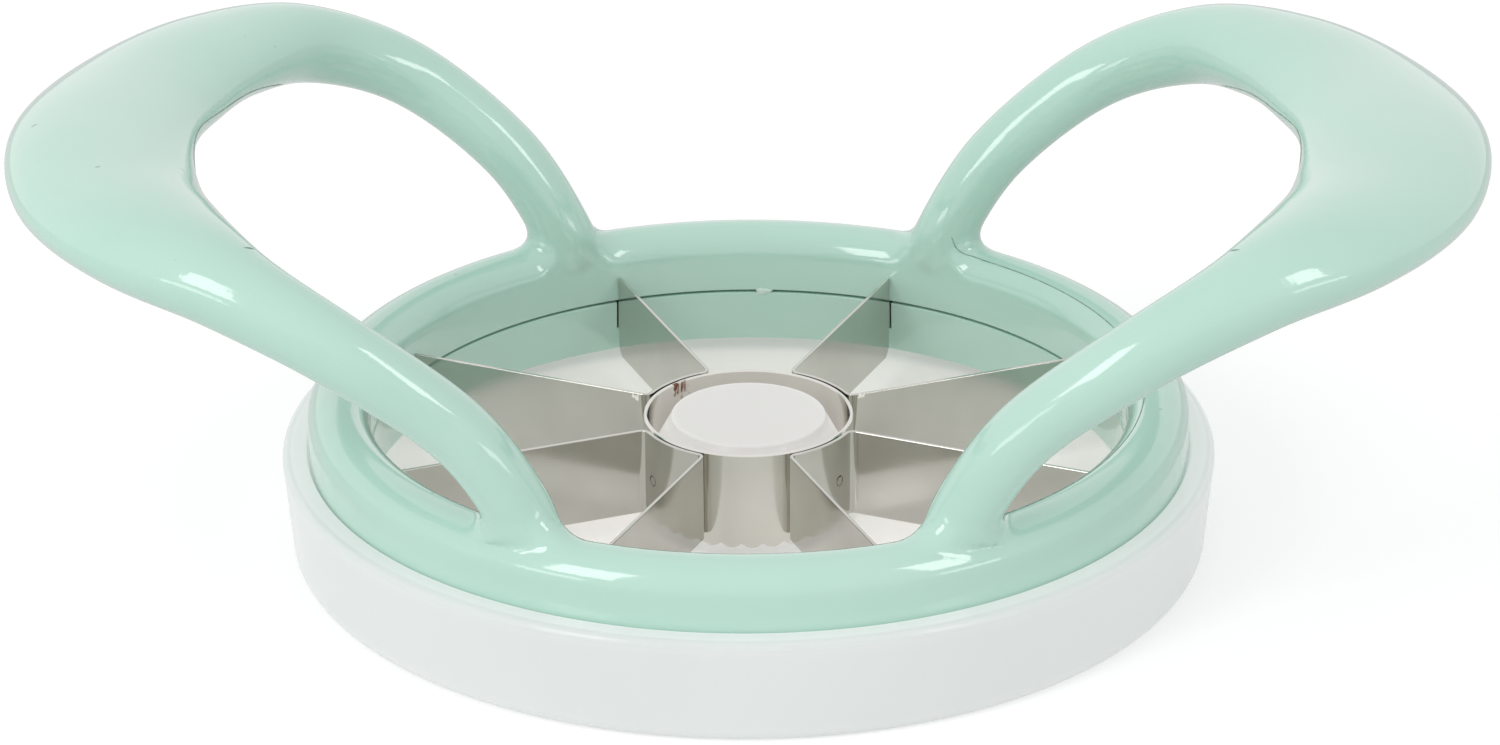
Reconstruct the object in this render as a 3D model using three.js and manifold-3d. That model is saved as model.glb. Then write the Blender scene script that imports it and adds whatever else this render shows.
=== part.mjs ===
// Eight-segment apple slicer that rests in a shallow tray. Millimetres, +Z up.
// The origin is the centre of the tray's underside and the two handles reach out along X.

import * as THREE from "three";
import { mergeVertices } from "three/addons/utils/BufferGeometryUtils.js";
import Module from "manifold-3d";

const wasm = await Module();
wasm.setup();

// Fits
const seatGap = 0.3;
const cutOverrun = 1;

// Core ring: a rolled strip with a scalloped lower edge
const coreRadius = 12.7;
const coreWall = 0.5;
const coreHeight = 12.1;
const coreFloorGap = 1.4;
const scallopPitch = 2.6;
const scallopDepth = 0.55;

// Blade strips: each folded strip gives two blades
const stripCount = 4;
const bladeThickness = 0.45;
const bladeHeight = 10.8;
const bladeBendRadius = 0.8;
const bladeCornerChamfer = 1;
const tabLength = 3.2;
const tabHeight = 3.3;

// Frame ring
const openingRadius = 45.6;
const ringWidth = 7.4;
const crownRise = 4.8;
const seamDrop = 3.3;
const skirtWall = 1.3;
const skirtDepth = 3.6;
const edgeRound = 0.5;

// Handle loops
const handleReach = 75.9;
const handleRise = 34.1;
const rootAngle = THREE.MathUtils.degToRad(60.9);
const rootHalfWidth = 3.4;
const legHalfWidth = 3.85;
const padHalfWidth = 11.1;
const legHalfThickness = 3.85;
const padHalfThickness = 4.9;
const rootFillet = 2.8;
const rootTurnHeight = 10;

// Retainer ring
const retainerHeight = 6.7;
const retainerDraft = 0.3;
const retainerRound = 0.4;

// Retainer screws
const screwAngle = THREE.MathUtils.degToRad(55);
const screwInset = 2.55;
const shankRadius = 1;
const shankLength = 9;
const headRadius = 1.7;
const headHeight = 1.5;
const headRound = 0.5;
const counterboreDepth = 2.1;
const screwClearance = 0.25;
const driveWidth = 0.6;
const driveReach = 1.1;
const driveDepth = 0.8;
const tipTaper = 1.2;

// Tray
const floorThickness = 2;
const rimWall = 2.8;
const rimClearance = 0.4;
const rimDrop = 2.6;
const rimRound = 1.1;
const ledgeWidth = 1.4;
const wallDraft = 0.8;
const innerDraft = 0.4;
const baseRound = 2;
const floorFillet = 1.5;

// Hub on the tray floor
const hubClearance = 0.7;
const hubTopRadius = 9.5;
const hubDrop = 0.2;
const hubTaperHeight = 4.2;
const hubRound = 0.7;
const hubWall = 2.8;
const hubHollowTaper = 2;

// Heights, from the surface that the tray stands on
const coreBottom = floorThickness + coreFloorGap;
const bladeTop = coreBottom + coreHeight;
const bladeBottom = bladeTop - bladeHeight;
const seamHeight = bladeTop - seamDrop;
const crownTop = bladeTop + crownRise;
const skirtBottom = seamHeight - skirtDepth;
const retainerTop = seamHeight - seatGap;
const retainerBottom = retainerTop - retainerHeight;
const ledgeHeight = skirtBottom - seatGap;
const rimHeight = bladeTop - rimDrop;
const tabBottom = retainerTop - tabHeight;

// Radii
const ringOuterRadius = openingRadius + ringWidth;
const ringMidRadius = openingRadius + ringWidth / 2;
const crownRadius = ringWidth / 2;
const crownCentreHeight = crownTop - crownRadius;
const socketRadius = ringOuterRadius - skirtWall;
const retainerRadius = socketRadius - seatGap;
const rimInnerRadius = ringOuterRadius + rimClearance;
const trayRadius = rimInnerRadius + rimWall;
const bladeEndRadius = openingRadius - seatGap;
const tabEndRadius = bladeEndRadius + tabLength;
const screwRadius = retainerRadius - screwInset;
const screwSeatHeight = retainerBottom + counterboreDepth;

// Facets
const ringSegments = 80;
const smallSegments = 16;
const roundSteps = 3;
const crownSteps = 10;
const stepsPerScallop = 5;
const sectionSegments = 16;
const stepsPerSpan = 4;
const bendSteps = 3;
const stripArcSteps = 8;

// One closed solid from a geometry: only its places are kept and its shared corners are merged.
function solid(geometry) {
  const bare = new THREE.BufferGeometry();
  bare.setAttribute("position", geometry.getAttribute("position"));
  bare.setIndex(geometry.getIndex());
  const merged = mergeVertices(bare);
  return new wasm.Manifold(
    new wasm.Mesh({
      numProp: 3,
      vertProperties: new Float32Array(merged.getAttribute("position").array),
      triVerts: new Uint32Array(merged.getIndex().array),
    }),
  );
}

function geometryOf(manifold) {
  const made = manifold.getMesh();
  const geometry = new THREE.BufferGeometry();
  geometry.setAttribute("position", new THREE.BufferAttribute(made.vertProperties, 3));
  geometry.setIndex(new THREE.BufferAttribute(made.triVerts, 1));
  const flat = geometry.toNonIndexed();
  flat.computeVertexNormals();
  return flat;
}

// A closed outline in radius and height, turned about the Z axis. The outline runs anticlockwise.
function revolve(outline, segments) {
  const points = [...outline, outline[0]].map(([radius, height]) => new THREE.Vector2(radius, height));
  const turned = new THREE.LatheGeometry(points, segments);
  turned.rotateX(Math.PI / 2);
  return turned;
}

// Points on an arc in the radius and height plane, both ends included.
function arc(centreRadius, centreHeight, radius, from, to, steps) {
  const curve = new THREE.EllipseCurve(centreRadius, centreHeight, radius, radius, from, to, to < from);
  return curve.getPoints(steps).map((point) => [point.x, point.y]);
}

const east = 0;
const north = Math.PI / 2;
const west = Math.PI;
const south = -Math.PI / 2;

// The ring's section: a round crown on two straight walls, with a socket under it for the retainer.
function frameRing() {
  const outline = [
    [ringOuterRadius - edgeRound, skirtBottom],
    [ringOuterRadius, skirtBottom + edgeRound],
    ...arc(ringMidRadius, crownCentreHeight, crownRadius, east, west, crownSteps),
    [openingRadius, seamHeight],
    [socketRadius, seamHeight],
    [socketRadius, skirtBottom],
  ];
  return solid(revolve(outline, ringSegments));
}

// Control points of half a loop, from its root in the ring to the middle of the palm pad:
// shares of the reach from root to pad, of the root's distance from the X axis, and of the rise.
const reachShares = [0, 0.01, 0.142, 0.384, 0.628, 0.812, 0.95, 1];
const spreadShares = [1, 0.977, 1.001, 1.028, 0.924, 0.705, 0.39, 0];
const riseShares = [0, 0.145, 0.467, 0.763, 0.932, 0.98, 0.984, 1];
// How far each section has gone from leg to pad, in width and in thickness
const padWidthShares = [0, 0, 0, 0.01, 0.17, 0.69, 0.9, 1];
const padThicknessShares = [0, 0, 0, 0.3, 0.8, 1, 1, 0.9];
// How far each section has gone from the root's width to the leg's
const legWidthShares = [0, 0.3, 1, 1, 1, 1, 1, 1];

// Both halves of a list that is the same on both sides of the pad.
function mirrored(list, flip = (value) => value) {
  const back = list.slice(0, -1).reverse();
  return [...list, ...back.map(flip)];
}

function loopPath() {
  const rootX = ringMidRadius * Math.cos(rootAngle);
  const rootY = ringMidRadius * Math.sin(rootAngle);
  const half = reachShares.map(
    (share, i) =>
      new THREE.Vector3(
        rootX + share * (handleReach - rootX),
        rootY * spreadShares[i],
        crownCentreHeight + riseShares[i] * handleRise,
      ),
  );
  const whole = mirrored(half, (point) => new THREE.Vector3(point.x, -point.y, point.z));
  return new THREE.CatmullRomCurve3(whole, false, "catmullrom");
}

// Half width and half thickness of the section along the loop, as a curve of pairs.
function loopSection() {
  const { lerp } = THREE.MathUtils;
  const half = padWidthShares.map((share, i) => {
    const leg = lerp(rootHalfWidth, legHalfWidth, legWidthShares[i]);
    const halfWidth = lerp(leg, padHalfWidth, share);
    const halfThickness = lerp(legHalfThickness, padHalfThickness, padThicknessShares[i]);
    return new THREE.Vector3(halfWidth, halfThickness, 0);
  });
  return new THREE.CatmullRomCurve3(mirrored(half), false, "catmullrom");
}

// Extra half thickness at a height: a round fillet that spreads the leg along the crown of the ring.
function filletAt(height) {
  const below = THREE.MathUtils.clamp((crownTop + rootFillet - height) / rootFillet, 0, 1);
  return rootFillet * (1 - Math.sqrt(1 - below * below));
}

// One loop handle: oval sections lofted along the path. At the roots they turn level with the ring.
function loop() {
  const path = loopPath();
  const section = loopSection();
  const stations = (reachShares.length - 1) * 2 * stepsPerSpan;
  const up = new THREE.Vector3(0, 0, 1);
  const places = [];
  for (let i = 0; i <= stations; i++) {
    const centre = path.getPoint(i / stations);
    const along = path.getTangent(i / stations);
    const sizes = section.getPoint(i / stations);
    const across = new THREE.Vector3().crossVectors(up, along).normalize();
    const over = new THREE.Vector3().crossVectors(along, across);
    const radial = new THREE.Vector3(centre.x, centre.y, 0).normalize();
    const tangent = new THREE.Vector3().crossVectors(up, radial);
    radial.multiplyScalar(Math.sign(across.dot(radial)));
    tangent.multiplyScalar(Math.sign(over.dot(tangent)));
    const raised = THREE.MathUtils.smoothstep(centre.z, crownCentreHeight, crownCentreHeight + rootTurnHeight);
    across.lerp(radial, 1 - raised).normalize();
    over.lerp(tangent, 1 - raised).normalize();
    const halfThickness = sizes.y + filletAt(centre.z);
    for (let j = 0; j < sectionSegments; j++) {
      const turn = (j / sectionSegments) * 2 * Math.PI;
      const place = centre.clone();
      place.addScaledVector(across, sizes.x * Math.cos(turn));
      place.addScaledVector(over, halfThickness * Math.sin(turn));
      places.push(place);
    }
  }
  return solid(loft(places, sectionSegments));
}

// A skin over rings of places, closed at both ends by fans.
function loft(places, sides) {
  const rings = places.length / sides;
  const triangles = [];
  for (let i = 0; i < rings - 1; i++) {
    for (let j = 0; j < sides; j++) {
      const a = i * sides + j;
      const b = i * sides + ((j + 1) % sides);
      triangles.push(a, b, b + sides);
      triangles.push(a, b + sides, a + sides);
    }
  }
  const last = (rings - 1) * sides;
  for (let j = 1; j < sides - 1; j++) {
    triangles.push(0, j + 1, j);
    triangles.push(last, last + j, last + j + 1);
  }
  const geometry = new THREE.BufferGeometry().setFromPoints(places);
  geometry.setIndex(triangles);
  return geometry;
}

// A cylinder that stands on a height, for holes and bores.
function post(radius, bottom, top, x, y) {
  const geometry = new THREE.CylinderGeometry(radius, radius, top - bottom, smallSegments);
  geometry.rotateX(Math.PI / 2);
  geometry.translate(x, y, (bottom + top) / 2);
  return solid(geometry);
}

const screwPlaces = [1, -1].flatMap((sideX) =>
  [1, -1].map((sideY) => [
    sideX * screwRadius * Math.cos(screwAngle),
    sideY * screwRadius * Math.sin(screwAngle),
  ]),
);

function frame() {
  const right = loop();
  const left = right.mirror([1, 0, 0]);
  let body = frameRing().add(right).add(left);
  const pilotTop = screwSeatHeight + shankLength + seatGap;
  for (const [x, y] of screwPlaces) {
    body = body.subtract(post(shankRadius + screwClearance, skirtBottom, pilotTop, x, y));
  }
  return body;
}

// The lower ring: it traps the blade tabs in slots that open upwards.
function retainerRing() {
  const outline = [
    [openingRadius + retainerDraft + retainerRound, retainerBottom],
    [retainerRadius - edgeRound, retainerBottom],
    [retainerRadius, retainerBottom + edgeRound],
    [retainerRadius, retainerTop],
    [openingRadius, retainerTop],
    ...arc(
      openingRadius + retainerDraft + retainerRound,
      retainerBottom + retainerRound,
      retainerRound,
      west,
      west + north,
      roundSteps,
    ).slice(0, -1),
  ];
  let body = solid(revolve(outline, ringSegments));
  const slotWidth = bladeThickness + 2 * seatGap;
  const slotEnd = tabEndRadius + seatGap;
  const slotBottom = tabBottom - seatGap;
  const slotStart = openingRadius - cutOverrun;
  const slotTop = retainerTop + cutOverrun;
  for (const angle of bladeAngles()) {
    const cut = new THREE.BoxGeometry(slotEnd - slotStart, slotWidth, slotTop - slotBottom);
    cut.translate((slotStart + slotEnd) / 2, 0, (slotBottom + slotTop) / 2);
    cut.rotateZ(angle);
    body = body.subtract(solid(cut));
  }
  for (const [x, y] of screwPlaces) {
    const bore = post(shankRadius + screwClearance, retainerBottom, retainerTop + cutOverrun, x, y);
    const counterbore = post(
      headRadius + screwClearance,
      retainerBottom - cutOverrun,
      screwSeatHeight,
      x,
      y,
    );
    body = body.subtract(bore.add(counterbore));
  }
  return body;
}

function bladeAngles() {
  const count = 2 * stripCount;
  return Array.from({ length: count }, (_, i) => ((i + 0.5) / count) * 2 * Math.PI);
}

// The core ring, with a lower edge of round lobes that meet in notches.
function coreRing() {
  const scallops = Math.round((2 * Math.PI * coreRadius) / scallopPitch);
  const steps = scallops * stepsPerScallop;
  const innerRadius = coreRadius - coreWall;
  const places = [];
  for (let i = 0; i < steps; i++) {
    const turn = (i / steps) * 2 * Math.PI;
    const lobe = Math.abs(Math.sin((turn * scallops) / 2));
    const bottom = coreBottom + scallopDepth * (1 - lobe);
    const corners = [
      [coreRadius, bottom],
      [coreRadius, bladeTop],
      [innerRadius, bladeTop],
      [innerRadius, bottom],
    ];
    for (const [radius, height] of corners) {
      places.push(new THREE.Vector3(radius * Math.cos(turn), radius * Math.sin(turn), height));
    }
  }
  const cornerCount = 4;
  const triangles = [];
  for (let i = 0; i < steps; i++) {
    const next = (i + 1) % steps;
    for (let j = 0; j < cornerCount; j++) {
      const a = i * cornerCount + j;
      const b = next * cornerCount + j;
      const c = next * cornerCount + ((j + 1) % cornerCount);
      const d = i * cornerCount + ((j + 1) % cornerCount);
      triangles.push(a, b, c);
      triangles.push(a, c, d);
    }
  }
  const geometry = new THREE.BufferGeometry().setFromPoints(places);
  geometry.setIndex(triangles);
  return solid(geometry);
}

// Plan of a folded strip: in along one blade, round an eighth of the core and out along the next.
function stripCentreline(from, to) {
  const hugRadius = coreRadius + seatGap + bladeThickness / 2;
  const bend = bladeBendRadius + bladeThickness / 2;
  const bendAngle = bend / hugRadius;
  const polar = (radius, angle) => new THREE.Vector2(radius * Math.cos(angle), radius * Math.sin(angle));
  const fold = (a, b, c) => new THREE.QuadraticBezierCurve(a, b, c).getPoints(bendSteps);
  const points = [polar(tabEndRadius, from)];
  points.push(...fold(polar(hugRadius + bend, from), polar(hugRadius, from), polar(hugRadius, from + bendAngle)));
  for (let i = 1; i < stripArcSteps; i++) {
    const share = i / stripArcSteps;
    points.push(polar(hugRadius, THREE.MathUtils.lerp(from + bendAngle, to - bendAngle, share)));
  }
  points.push(...fold(polar(hugRadius, to - bendAngle), polar(hugRadius, to), polar(hugRadius + bend, to)));
  points.push(polar(tabEndRadius, to));
  return points;
}

function bladeStrip(from, to) {
  const line = stripCentreline(from, to);
  const side = (sign) =>
    line.map((point, i) => {
      const before = line[Math.max(i - 1, 0)];
      const after = line[Math.min(i + 1, line.length - 1)];
      const along = after.clone().sub(before).normalize();
      const normal = new THREE.Vector2(-along.y, along.x);
      return point.clone().addScaledVector(normal, (sign * bladeThickness) / 2);
    });
  const plan = new THREE.Shape([...side(-1), ...side(1).reverse()]);
  const sheet = new THREE.ExtrudeGeometry(plan, { depth: bladeHeight, bevelEnabled: false });
  sheet.translate(0, 0, bladeBottom);
  const trimRadius = tabEndRadius + cutOverrun;
  const under = [
    [bladeEndRadius - bladeCornerChamfer, bladeBottom - cutOverrun],
    [trimRadius, bladeBottom - cutOverrun],
    [trimRadius, tabBottom],
    [bladeEndRadius, tabBottom],
    [bladeEndRadius, bladeBottom + bladeCornerChamfer],
    [bladeEndRadius - bladeCornerChamfer, bladeBottom],
  ];
  const over = [
    [bladeEndRadius, retainerTop],
    [trimRadius, retainerTop],
    [trimRadius, bladeTop + cutOverrun],
    [bladeEndRadius, bladeTop + cutOverrun],
  ];
  const lower = solid(revolve(under, ringSegments));
  const upper = solid(revolve(over, ringSegments));
  return solid(sheet).subtract(lower).subtract(upper);
}

// The tray: a drafted wall with a ledge for the frame, a flat floor and a hollow tapered hub.
function tray() {
  const baseRadius = trayRadius - wallDraft;
  const ledgeRadius = rimInnerRadius - ledgeWidth;
  const wellRadius = ledgeRadius - innerDraft;
  const hubRadius = coreRadius - coreWall - hubClearance;
  const hubTop = bladeTop - hubDrop;
  const hollowRadius = hubRadius - hubWall;
  const hollowTop = hubTop - hubWall;
  const outline = [
    [0, hollowTop],
    [hollowRadius - hubHollowTaper, hollowTop],
    [hollowRadius, hollowTop - hubTaperHeight],
    [hollowRadius, 0],
    ...arc(baseRadius - baseRound, baseRound, baseRound, south, east, roundSteps),
    ...arc(trayRadius - rimRound, rimHeight - rimRound, rimRound, east, north, roundSteps),
    ...arc(rimInnerRadius + rimRound, rimHeight - rimRound, rimRound, north, west, roundSteps),
    [rimInnerRadius, ledgeHeight],
    [ledgeRadius, ledgeHeight],
    ...arc(wellRadius - floorFillet, floorThickness + floorFillet, floorFillet, east, south, roundSteps),
    [hubRadius, floorThickness],
    [hubRadius, hubTop - hubTaperHeight],
    ...arc(hubTopRadius - hubRound, hubTop - hubRound, hubRound, east, north, roundSteps),
    [0, hubTop],
  ];
  return solid(revolve(outline, ringSegments));
}

// A small pan-head screw, driven upwards from under the retainer.
function screw(x, y) {
  const headBottom = screwSeatHeight - seatGap - headHeight;
  const headTop = screwSeatHeight - seatGap;
  const tip = screwSeatHeight + shankLength - seatGap;
  const outline = [
    [0, headBottom],
    ...arc(headRadius - headRound, headBottom + headRound, headRound, south, east, roundSteps),
    [headRadius, headTop],
    [shankRadius, headTop],
    [shankRadius, tip - tipTaper],
    [0, tip],
  ];
  let body = solid(revolve(outline, smallSegments));
  for (const turn of [0, Math.PI / 2]) {
    const slot = new THREE.BoxGeometry(2 * driveReach, driveWidth, 2 * driveDepth);
    slot.rotateZ(turn);
    slot.translate(0, 0, headBottom);
    body = body.subtract(solid(slot));
  }
  return body.translate([x, y, 0]);
}

const finishes = {
  mint: { color: 0xbfe0d3, roughness: 0.18, metalness: 0 },
  steel: { color: 0xb4b2a8, roughness: 0.25, metalness: 1 },
  frost: { color: 0xe6ebea, roughness: 0.45, metalness: 0 },
  zinc: { color: 0xc9c9c6, roughness: 0.35, metalness: 1 },
};

const slicer = new THREE.Group();

function piece(name, manifold, finish) {
  const mesh = new THREE.Mesh(geometryOf(manifold), new THREE.MeshStandardMaterial(finishes[finish]));
  mesh.name = name;
  slicer.add(mesh);
}

piece("base_tray", tray(), "frost");
piece("handle_frame", frame(), "mint");
piece("retainer_ring", retainerRing(), "mint");
piece("core_ring", coreRing(), "steel");

const angles = bladeAngles();
for (let i = 0; i < stripCount; i++) {
  piece("blade_strip_" + (i + 1), bladeStrip(angles[2 * i], angles[2 * i + 1]), "steel");
}

screwPlaces.forEach(([x, y], i) => piece("retainer_screw_" + (i + 1), screw(x, y), "zinc"));

export default slicer;
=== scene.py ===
import math

import bmesh
import bpy
import numpy as np
from mathutils import Matrix, Vector


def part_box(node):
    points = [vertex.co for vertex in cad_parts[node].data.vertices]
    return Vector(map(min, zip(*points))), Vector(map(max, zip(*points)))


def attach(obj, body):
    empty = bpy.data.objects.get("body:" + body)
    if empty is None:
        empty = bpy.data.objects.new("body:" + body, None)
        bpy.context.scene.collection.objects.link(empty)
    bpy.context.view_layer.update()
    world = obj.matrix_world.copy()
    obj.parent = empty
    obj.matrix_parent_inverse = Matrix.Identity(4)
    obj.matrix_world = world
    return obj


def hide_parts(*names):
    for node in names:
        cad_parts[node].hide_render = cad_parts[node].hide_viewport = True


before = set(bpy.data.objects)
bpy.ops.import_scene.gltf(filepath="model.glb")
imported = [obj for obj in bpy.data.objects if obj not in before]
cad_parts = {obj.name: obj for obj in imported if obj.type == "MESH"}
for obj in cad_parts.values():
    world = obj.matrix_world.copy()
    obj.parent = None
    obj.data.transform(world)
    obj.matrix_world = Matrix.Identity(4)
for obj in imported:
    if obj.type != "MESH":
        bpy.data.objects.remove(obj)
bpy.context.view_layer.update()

MM = 0.001

# Sizes that the solids share, in metres
CORE_RADIUS = 12.7 * MM
CORE_WALL = 0.5 * MM
CORE_BOTTOM = 3.4 * MM
SCALLOPS = 31
SCALLOP_DEPTH = 0.55 * MM
BLADE_TOP = 15.5 * MM
BLADE_HEIGHT = 10.8 * MM
BLADE_THICKNESS = 0.45 * MM
BLADE_CHAMFER = 1 * MM
BEND_RADIUS = 0.8 * MM
TAB_LENGTH = 3.2 * MM
TAB_HEIGHT = 3.3 * MM
SEAT_GAP = 0.3 * MM
OPENING_RADIUS = 45.6 * MM
RING_WIDTH = 7.4 * MM
CROWN_TOP = 20.3 * MM
SEAM_HEIGHT = 12.2 * MM
SKIRT_BOTTOM = 8.6 * MM
SKIRT_WALL = 1.3 * MM
EDGE_ROUND = 0.5 * MM
RING_OUTER = OPENING_RADIUS + RING_WIDTH
RING_MIDDLE = OPENING_RADIUS + RING_WIDTH / 2
CROWN_RADIUS = RING_WIDTH / 2
CROWN_CENTRE = CROWN_TOP - CROWN_RADIUS
BLADE_BOTTOM = BLADE_TOP - BLADE_HEIGHT
RETAINER_TOP = SEAM_HEIGHT - SEAT_GAP
RETAINER_BOTTOM = RETAINER_TOP - 6.7 * MM
RETAINER_RADIUS = RING_OUTER - SKIRT_WALL - SEAT_GAP
RETAINER_DRAFT = 0.3 * MM
RETAINER_ROUND = 0.4 * MM
BLADE_END = OPENING_RADIUS - SEAT_GAP
TAB_END = BLADE_END + TAB_LENGTH
TRAY_OUTER = RING_OUTER + 3.2 * MM
TRAY_RIM = BLADE_TOP - 2.55 * MM
SCREWS = [f"retainer_screw_{i}" for i in range(1, 5)]

# Handle loops: the same path and sections as the solid's
HANDLE_REACH = 75.9 * MM
HANDLE_RISE = 34.1 * MM
ROOT_ANGLE = math.radians(60.9)
ROOT_TURN_HEIGHT = 10 * MM
ROOT_HALF_WIDTH = 3.4 * MM
LEG_HALF = 3.85 * MM
PAD_HALF_WIDTH = 11.1 * MM
PAD_HALF_THICKNESS = 4.9 * MM
REACH_SHARES = [0, 0.01, 0.142, 0.384, 0.628, 0.812, 0.95, 1]
SPREAD_SHARES = [1, 0.977, 1.001, 1.028, 0.924, 0.705, 0.39, 0]
RISE_SHARES = [0, 0.145, 0.467, 0.763, 0.932, 0.98, 0.984, 1]
PAD_WIDTH_SHARES = [0, 0, 0, 0.01, 0.17, 0.69, 0.9, 1]
PAD_THICKNESS_SHARES = [0, 0, 0, 0.3, 0.8, 1, 1, 0.9]
LEG_WIDTH_SHARES = [0, 0.3, 1, 1, 1, 1, 1, 1]


def linear(red, green, blue):
    """A display colour, 0 to 255, as the linear colour that a shader takes."""
    def channel(value):
        value = value / 255
        return value / 12.92 if value <= 0.04045 else ((value + 0.055) / 1.055) ** 2.4
    return channel(red), channel(green), channel(blue), 1


# Colours. In a pair the noise of the surface goes from the first to the second
MINT = (linear(181, 219, 204), linear(186, 222, 208))
MINT_SPECK = linear(120, 140, 130)
# Darker than the mint: painted shade along the parting lines
MINT_SEAM_SHADE = (linear(122, 147, 137), linear(156, 184, 172))
MINT_TORN = (linear(196, 226, 214), linear(226, 242, 234))
BLADE_STEEL = (linear(195, 194, 187), linear(207, 206, 200))
CORE_STEEL = (linear(216, 214, 208), linear(227, 225, 219))
BURN = linear(122, 82, 58)
FLECK = linear(255, 255, 248)
WELD = linear(96, 94, 86)
ZINC = (linear(170, 172, 170), linear(198, 198, 194))
FROST_HUB = linear(186, 184, 182)
FROST_FLOOR = linear(218, 214, 212)
FROST_WALL = linear(195, 200, 199)
# Darker on the rim's rounded edge: painted shade
FROST_RIM_PAINTED_SHADE = linear(188, 194, 192)
FROST_CLOUD = linear(225, 229, 227)
# Glows of the tray: painted light for light that passes through the plastic, most on the hub's side and
# raised on the rim's top
GLOW_HUB = (0.68, 0.67, 0.65, 1)
GLOW_SIDE_PAINTED_LIGHT = (1, 0.98, 0.96, 1)
GLOW_FLOOR = (0.85, 0.81, 0.79, 1)
GLOW_WALL = (0.63, 0.63, 0.63, 1)
GLOW_TOP_PAINTED_LIGHT = (0.74, 0.73, 0.73, 1)
# Least glow on the rim's rounded edge: painted shade
GLOW_RIM_PAINTED_SHADE = (0.55, 0.55, 0.55, 1)

# Marks on the steel: where they are and how large
WELD_RADIUS = 0.6 * MM
CORE_BURNS = [((-8.54 * MM, 8.72 * MM, 14.9 * MM), 1.0 * MM)]
STRIP_FLECKS = [
    ((-13.7 * MM, 5.67 * MM, 14.9 * MM), 0.3 * MM),
    ((13.4 * MM, 5.55 * MM, 15.2 * MM), 0.28 * MM),
]
STRIP_WELDS = [(-11.35 * MM, -7.17 * MM, 9.64 * MM), (11.01 * MM, -7.68 * MM, 9.95 * MM)]
ROLLING_SCALE = (1.0, 1.0, 30.0)
FIBRE_SCALE = (2600.0, 2600.0, 500.0)
BURN_RAG = 0.9 * MM
FLECK_RAG = 0.5 * MM
# A spot fades between these shares of its radius
SPOT_FADE = (0.6, 1.4)
# A weld's ring fades between these distances from its middle line
WELD_FADE = (0.05 * MM, 0.14 * MM)

# Where the tray's tone and its painted light and shade change: from which radius or height, and up to which
HUB_SIDE = (9.35 * MM, 9.9 * MM)
HUB_FOOT = (12.4 * MM, 13.2 * MM)
WALL_FOOT = (49 * MM, 53 * MM)
WALL_SKIN = (TRAY_OUTER - 1.1 * MM, TRAY_OUTER - 0.7 * MM)
RIM_EDGE = (TRAY_RIM - 1.1 * MM, TRAY_RIM - 0.6 * MM)
RIM_TOP = (TRAY_RIM - 0.25 * MM, TRAY_RIM - 0.05 * MM)

# Nearly all of a noise lies between these
NOISE_LOW = 0.3
NOISE_HIGH = 0.7


# Materials

class Nodes:
    """A short way to write a material's node tree."""

    def __init__(self, name):
        self.material = bpy.data.materials.new(name)
        self.material.use_nodes = True
        self.tree = self.material.node_tree
        self.tree.nodes.clear()
        self.output = self.tree.nodes.new("ShaderNodeOutputMaterial")

    def surface(self, node):
        self.tree.links.new(node.outputs[0], self.output.inputs["Surface"])

    def add(self, kind, values=None, **settings):
        """A node with its settings, and with a link or a constant at each input that the values name."""
        node = self.tree.nodes.new(kind)
        for key, value in settings.items():
            setattr(node, key, value)
        for key, value in (values or {}).items():
            if isinstance(value, bpy.types.NodeSocket):
                self.tree.links.new(value, node.inputs[key])
            else:
                node.inputs[key].default_value = value
        return node

    def shader(self, values):
        self.surface(self.add("ShaderNodeBsdfPrincipled", values))

    def place(self):
        return self.add("ShaderNodeTexCoord").outputs["Object"]

    def scaled(self, place, scale):
        return self.add("ShaderNodeMapping", {"Vector": place, "Scale": scale}).outputs[0]

    def noise(self, scale, detail=2.0, place=None):
        inputs = {"Vector": place or self.place(), "Scale": scale, "Detail": detail}
        return self.add("ShaderNodeTexNoise", inputs).outputs["Fac"]

    def remap(self, value, low, high, to_low, to_high):
        inputs = {"Value": value, 1: low, 2: high, 3: to_low, 4: to_high}
        return self.add("ShaderNodeMapRange", inputs).outputs["Result"]

    def spread(self, noise, to_low, to_high):
        """The noise, stretched to the whole of a range."""
        return self.remap(noise, NOISE_LOW, NOISE_HIGH, to_low, to_high)

    def step(self, value, low, high):
        """Zero up to the lower value and one from the higher."""
        return self.remap(value, low, high, 0.0, 1.0)

    def math(self, operation, *values):
        return self.add("ShaderNodeMath", dict(enumerate(values)), operation=operation).outputs[0]

    def distance(self, place, centre):
        return self.add("ShaderNodeVectorMath", {0: place, 1: centre}, operation="DISTANCE").outputs["Value"]

    def blend(self, share, first, second):
        """The first colour where the share is zero and the second where it is one."""
        return self.add("ShaderNodeMix", {0: share, 6: first, 7: second}, data_type="RGBA").outputs[2]

    def layers(self, colour, *layers):
        """The colour with others laid over it, each by its share."""
        for share, tone in layers:
            colour = self.blend(share, colour, tone)
        return colour

    def bump(self, height, distance, strength, **values):
        inputs = {"Height": height, "Distance": distance, "Strength": strength}
        inputs.update(values)
        return self.add("ShaderNodeBump", inputs).outputs["Normal"]


def mint_material():
    """Glossy moulded mint: a faint waviness, a few specks and slight changes of tone."""
    n = Nodes("mint_gloss")
    colour = n.blend(n.spread(n.noise(scale=45.0, detail=3.0), 0.0, 1.0), *MINT)
    speck = n.remap(n.noise(scale=520.0, detail=1.0), 0.80, 0.83, 0.0, 0.55)
    colour = n.blend(speck, colour, MINT_SPECK)
    waves = n.bump(n.noise(scale=150.0), distance=0.03 * MM, strength=0.4)
    n.shader({
        "Base Color": colour,
        "Roughness": n.spread(n.noise(scale=60.0), 0.1, 0.14),
        "IOR": 1.5,
        "Coat Weight": 0.8,
        "Coat Roughness": 0.03,
        "Normal": waves,
    })
    return n.material


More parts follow.
